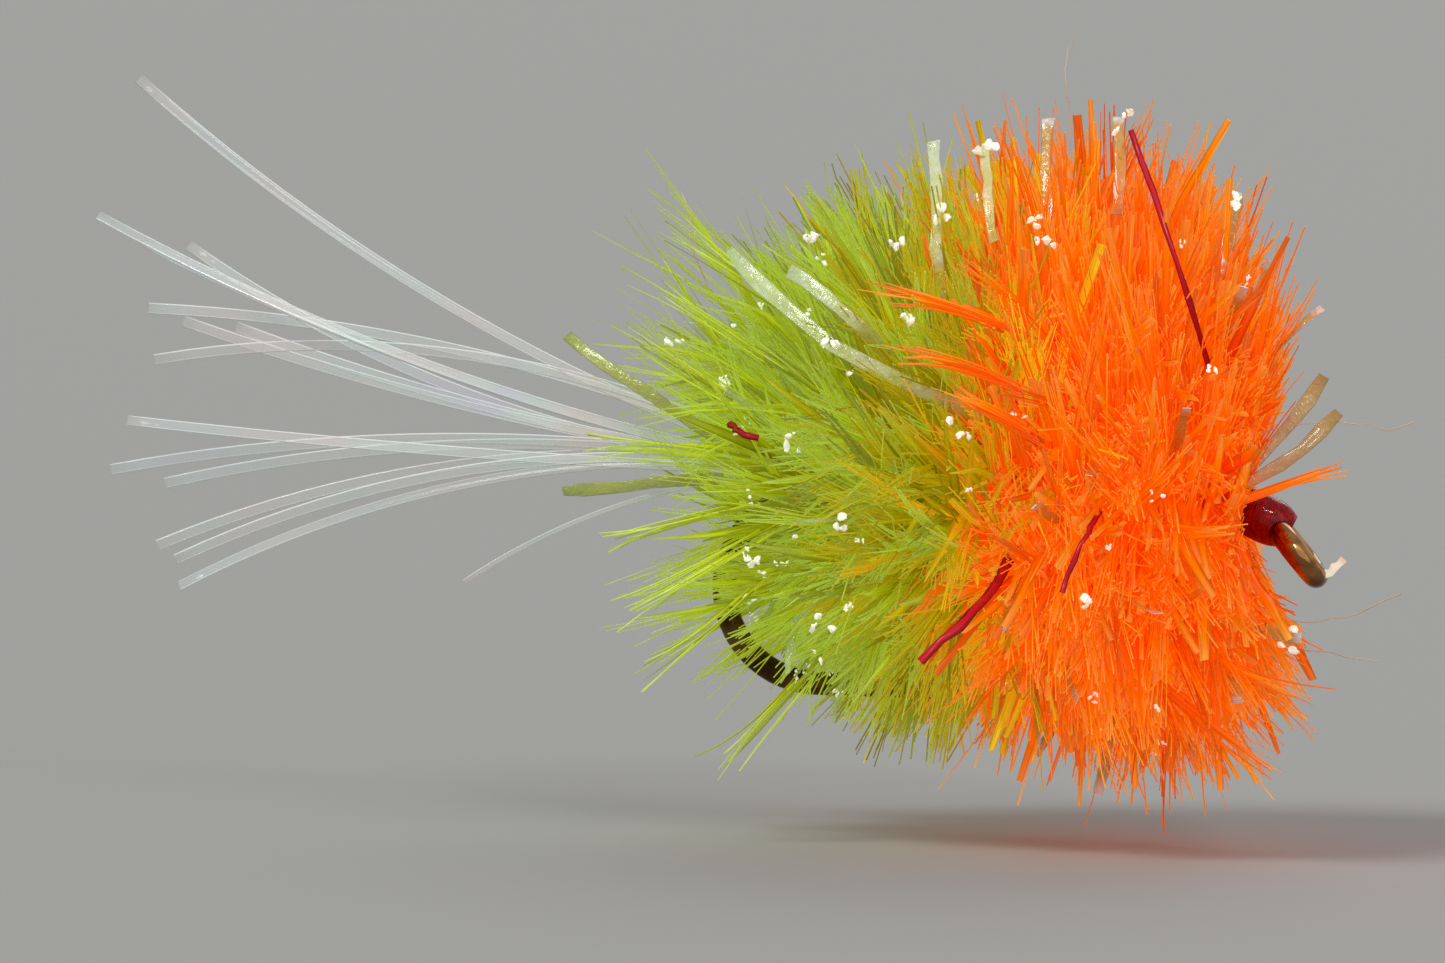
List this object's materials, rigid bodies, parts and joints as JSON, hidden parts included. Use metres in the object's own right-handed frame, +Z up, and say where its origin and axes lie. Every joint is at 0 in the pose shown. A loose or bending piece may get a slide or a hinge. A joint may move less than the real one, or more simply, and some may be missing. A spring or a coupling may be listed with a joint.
{
  "type": "stillwater attractor fly",
  "caption": "Artificial fishing fly on a down-eye hook: a fan of pearl film tail strands, a lime green and a hot orange section of long wound pile, and a varnished thread head.",
  "frame": {"origin": "centre of the hook's ring eye", "axes": "+X forward along the shank, the way the line pulls; +Z up, away from the gape; +Y to the fly's left"},
  "size_m": [0.0326, 0.0166, 0.0175],
  "materials": {
    "hook_steel": "dark bronze plated, glossy",
    "thread": "waxed tying thread",
    "varnish": "clear gloss varnish",
    "green_pile": "long synthetic pile, matt with pearl flecks",
    "orange_pile": "long synthetic pile, matt with pearl flecks",
    "pearl_film": "pearl film, glossy"
  },
  "bodies": {
    "body": {"hook": "hook_steel", "thread_base": "thread", "green_core": "green_pile", "green_pile_1": "green_pile", "green_pile_2": "green_pile", "green_pile_3": "green_pile", "green_pile_4": "green_pile", "green_pile_5": "green_pile", "orange_core": "orange_pile", "orange_pile_1": "orange_pile", "orange_pile_2": "orange_pile", "orange_pile_3": "orange_pile", "orange_pile_4": "orange_pile", "orange_pile_5": "orange_pile", "orange_pile_6": "orange_pile", "thread_head": "thread", "head_varnish": "varnish"},
    "tail": {"tail_strand_01": "pearl_film", "tail_strand_02": "pearl_film", "tail_strand_03": "pearl_film", "tail_strand_04": "pearl_film", "tail_strand_05": "pearl_film", "tail_strand_06": "pearl_film", "tail_strand_07": "pearl_film", "tail_strand_08": "pearl_film", "tail_strand_09": "pearl_film", "tail_strand_10": "pearl_film", "tail_strand_11": "pearl_film", "tail_strand_12": "pearl_film"}
  },
  "joints": [
    {"name": "tail_flex", "type": "hinge", "parent": "body", "child": "tail", "pos_m": [-0.01279, 0, 0.00172], "axis": [0, 1, 0], "range_deg": [-12, 15], "stiffness_Nm_per_rad": 0.00001}
  ]
}
